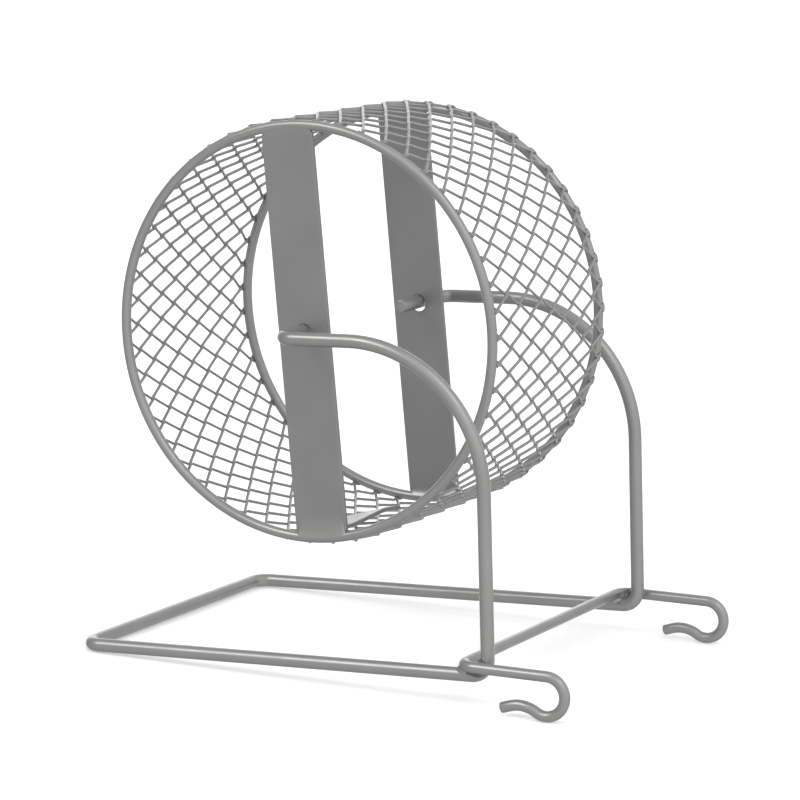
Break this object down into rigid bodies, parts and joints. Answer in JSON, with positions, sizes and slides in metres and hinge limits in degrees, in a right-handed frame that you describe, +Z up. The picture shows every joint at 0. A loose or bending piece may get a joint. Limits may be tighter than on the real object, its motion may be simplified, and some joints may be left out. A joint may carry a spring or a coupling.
{
  "type": "rodent exercise wheel",
  "caption": "Open drum of rolled expanded metal on wire rings, hung by flat straps on the bent-in ends of a wire stand with cage hooks; the drum spins freely.",
  "frame": {"origin": "on the floor, under the middle of the whole object's box", "axes": "+X to the hooked front, +Y away from the side with the tabbed strap and along the wheel's axle, +Z up"},
  "size_m": [0.195, 0.1388, 0.1937],
  "materials": {
    "wire_lacquer": "satin silver-grey lacquer on drawn wire",
    "strap_lacquer": "satin silver-grey lacquer on flat strip",
    "mesh_lacquer": "satin silver-grey lacquer on expanded metal",
    "weld_lacquer": "satin silver-grey lacquer over weld metal"
  },
  "bodies": {
    "stand": {"stand_wire": "wire_lacquer", "hook_wire": "wire_lacquer", "hook_wire_welds": "weld_lacquer"},
    "wheel": {"near_ring": "wire_lacquer", "far_ring": "wire_lacquer", "running_mesh": "mesh_lacquer", "near_strap": "strap_lacquer", "far_strap": "strap_lacquer", "near_strap_welds": "weld_lacquer", "far_strap_welds": "weld_lacquer"}
  },
  "joints": [
    {"name": "wheel_spin", "type": "hinge", "parent": "stand", "child": "wheel", "pos_m": [-0.01932, 0, 0.11866], "axis": [0, 1, 0], "continuous": true}
  ]
}
